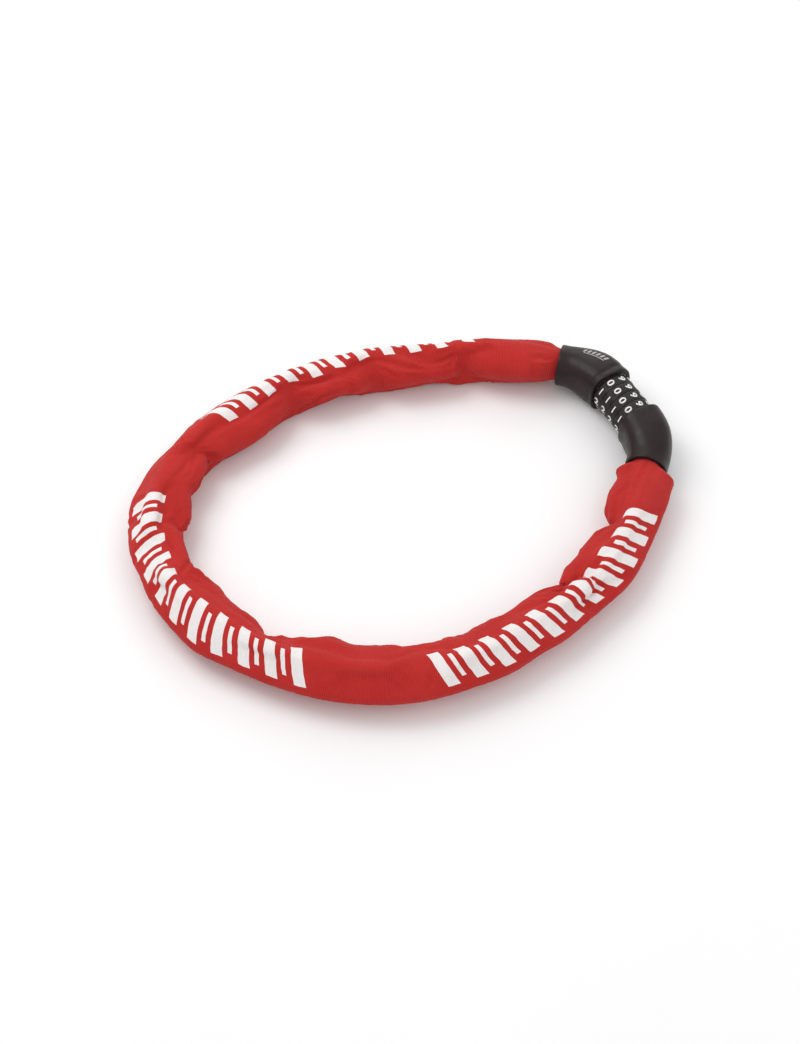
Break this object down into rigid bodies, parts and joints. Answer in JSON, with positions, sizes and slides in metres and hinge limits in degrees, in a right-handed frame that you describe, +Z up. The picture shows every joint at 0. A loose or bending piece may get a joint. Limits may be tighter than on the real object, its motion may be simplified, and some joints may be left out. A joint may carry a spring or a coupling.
{
  "type": "chain lock",
  "caption": "Bicycle chain lock closed in a ring: hardened chain in a red woven sleeve, two curved dark housings and a resettable number-dial barrel with a pull-out plug.",
  "frame": {"origin": "on the surface that the lock lies on, under the middle of its box", "axes": "+Z up out of the surface, +X along the ring's longer side with the number dials at its +X end, -Y towards the side that the dials' reading row is seen from"},
  "size_m": [0.3296, 0.2756, 0.0304],
  "materials": {
    "moulded_black": "soft satin, fine moulded grain",
    "dial_black": "ribbed, white printed digits",
    "die_cast_zinc": "as cast",
    "plated_steel": "turned and zinc plated",
    "tumbler_brass": "turned",
    "spring_steel": "rolled strip",
    "chain_steel": "zinc plated, welded",
    "red_weave": "ribbed woven polyester, white print"
  },
  "bodies": {
    "lock_body": {"body_cover": "moulded_black", "body_core": "die_cast_zinc", "spindle": "plated_steel", "click_spring": "spring_steel", "dial_washer": "spring_steel", "collar_clip": "spring_steel", "chain_pin_body": "plated_steel", "sleeve_clamp_body": "plated_steel"},
    "number_dial_1": {"dial_1": "dial_black", "tumbler_1": "tumbler_brass"},
    "number_dial_2": {"dial_2": "dial_black", "tumbler_2": "tumbler_brass"},
    "number_dial_3": {"dial_3": "dial_black", "tumbler_3": "tumbler_brass"},
    "number_dial_4": {"dial_4": "dial_black", "tumbler_4": "tumbler_brass"},
    "collar": {"reset_collar": "plated_steel"},
    "plug": {"plug_cover": "moulded_black", "plug_core": "die_cast_zinc", "bolt": "plated_steel", "bolt_pin": "plated_steel", "chain_pin_plug": "plated_steel", "sleeve_clamp_plug": "plated_steel"},
    "chain_1": {"link_01": "chain_steel", "link_02": "chain_steel", "link_03": "chain_steel", "sleeve_01": "red_weave"},
    "chain_2": {"link_04": "chain_steel", "link_05": "chain_steel", "link_06": "chain_steel", "link_07": "chain_steel", "sleeve_02": "red_weave", "sleeve_03": "red_weave"},
    "chain_3": {"link_08": "chain_steel", "link_09": "chain_steel", "link_10": "chain_steel", "link_11": "chain_steel", "sleeve_04": "red_weave", "sleeve_05": "red_weave"},
    "chain_4": {"link_12": "chain_steel", "link_13": "chain_steel", "link_14": "chain_steel", "link_15": "chain_steel", "sleeve_06": "red_weave", "sleeve_07": "red_weave"},
    "chain_5": {"link_16": "chain_steel", "link_17": "chain_steel", "link_18": "chain_steel", "link_19": "chain_steel", "sleeve_08": "red_weave", "sleeve_09": "red_weave"},
    "chain_6": {"link_20": "chain_steel", "link_21": "chain_steel", "link_22": "chain_steel", "link_23": "chain_steel", "sleeve_10": "red_weave", "sleeve_11": "red_weave"}
  },
  "joints": [
    {"name": "plug_slide", "type": "slide", "parent": "lock_body", "child": "plug", "axis": [0.4848, -0.8746, 0], "range_m": [0, 0.045], "deforming": ["sleeve_01", "sleeve_02", "sleeve_03", "sleeve_04", "sleeve_05", "sleeve_06", "sleeve_07", "sleeve_08", "sleeve_09", "sleeve_10", "sleeve_11"]},
    {"name": "dial_1_turn", "type": "hinge", "parent": "lock_body", "child": "number_dial_1", "pos_m": [0.13777, 0.08064, 0.015], "axis": [0.4848, -0.8746, 0], "continuous": true},
    {"name": "dial_2_turn", "type": "hinge", "parent": "lock_body", "child": "number_dial_2", "pos_m": [0.13777, 0.08064, 0.015], "axis": [0.4848, -0.8746, 0], "continuous": true},
    {"name": "dial_3_turn", "type": "hinge", "parent": "lock_body", "child": "number_dial_3", "pos_m": [0.13777, 0.08064, 0.015], "axis": [0.4848, -0.8746, 0], "continuous": true},
    {"name": "dial_4_turn", "type": "hinge", "parent": "lock_body", "child": "number_dial_4", "pos_m": [0.13777, 0.08064, 0.015], "axis": [0.4848, -0.8746, 0], "continuous": true},
    {"name": "collar_turn", "type": "hinge", "parent": "lock_body", "child": "collar", "pos_m": [0.13777, 0.08064, 0.015], "axis": [0.4848, -0.8746, 0], "range_deg": [0, 90]},
    {"name": "chain_turn_6", "type": "hinge", "parent": "plug", "child": "chain_6", "pos_m": [0.14336, 0.01666, 0.015], "axis": [0, 0, 1], "range_deg": [-6.9, 0]},
    {"name": "chain_turn_5", "type": "hinge", "parent": "chain_6", "child": "chain_5", "pos_m": [0.07914, -0.08425, 0.015], "axis": [0, 0, 1], "range_deg": [-1.1, 0]},
    {"name": "chain_turn_4", "type": "hinge", "parent": "chain_5", "child": "chain_4", "pos_m": [-0.03635, -0.11933, 0.015], "axis": [0, 0, 1], "range_deg": [0, 4.7]},
    {"name": "chain_turn_3", "type": "hinge", "parent": "chain_4", "child": "chain_3", "pos_m": [-0.13793, -0.05344, 0.015], "axis": [0, 0, 1], "range_deg": [0, 6.3]},
    {"name": "chain_turn_2", "type": "hinge", "parent": "chain_3", "child": "chain_2", "pos_m": [-0.11354, 0.06007, 0.015], "axis": [0, 0, 1], "range_deg": [0, 1.6]},
    {"name": "chain_turn_1", "type": "hinge", "parent": "chain_2", "child": "chain_1", "pos_m": [-0.00379, 0.11397, 0.015], "axis": [0, 0, 1], "range_deg": [-4.6, 0]}
  ],
  "couplings": [
    {"joint": "chain_turn_6", "follows": "plug_slide", "rad_per_m": -2.6343},
    {"joint": "chain_turn_5", "follows": "plug_slide", "rad_per_m": -0.38147},
    {"joint": "chain_turn_4", "follows": "plug_slide", "rad_per_m": 1.7698},
    {"joint": "chain_turn_3", "follows": "plug_slide", "rad_per_m": 2.4066},
    {"joint": "chain_turn_2", "follows": "plug_slide", "rad_per_m": 0.57539},
    {"joint": "chain_turn_1", "follows": "plug_slide", "rad_per_m": -1.7361}
  ]
}
